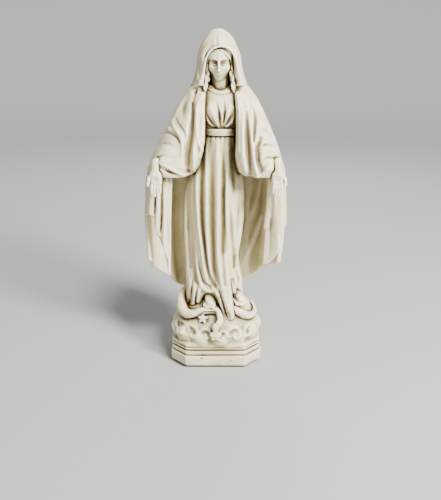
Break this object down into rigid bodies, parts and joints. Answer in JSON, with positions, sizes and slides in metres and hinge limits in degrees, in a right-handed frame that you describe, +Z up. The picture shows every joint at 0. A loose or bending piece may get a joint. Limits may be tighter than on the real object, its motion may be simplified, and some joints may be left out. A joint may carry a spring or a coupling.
{
  "type": "devotional statue",
  "caption": "Cast-stone statue of a veiled woman with lowered open hands, standing on a cloud mound and serpent over a moulded eight-sided plinth.",
  "frame": {"origin": "centre of the felt pad's lower face, on the surface the statue stands on", "axes": "+Z up through the figure, the figure faces -Y, +X is to the right of a person who looks at its face"},
  "size_m": [0.1284, 0.0766, 0.305],
  "materials": {
    "stone": "satin, ivory bonded marble with a warm brown patina in the hollows",
    "felt": "matte wool felt",
    "steel": "drawn wire"
  },
  "bodies": {
    "root": {"felt_pad": "felt", "plinth": "stone", "mound": "stone", "serpent_coil": "stone", "serpent_tail": "stone", "right_foot": "stone", "left_foot": "stone", "gown_skirt": "stone", "sash": "stone", "gown_bodice": "stone", "head": "stone", "hair": "stone", "veil": "stone", "mantle_back": "stone", "mantle_right_arm": "stone", "mantle_left_arm": "stone", "right_cascade": "stone", "left_cascade": "stone", "right_hand": "stone", "left_hand": "stone", "right_hand_peg": "steel", "left_hand_peg": "steel", "armature_rod": "steel", "star": "stone", "rose": "stone"}
  },
  "joints": []
}
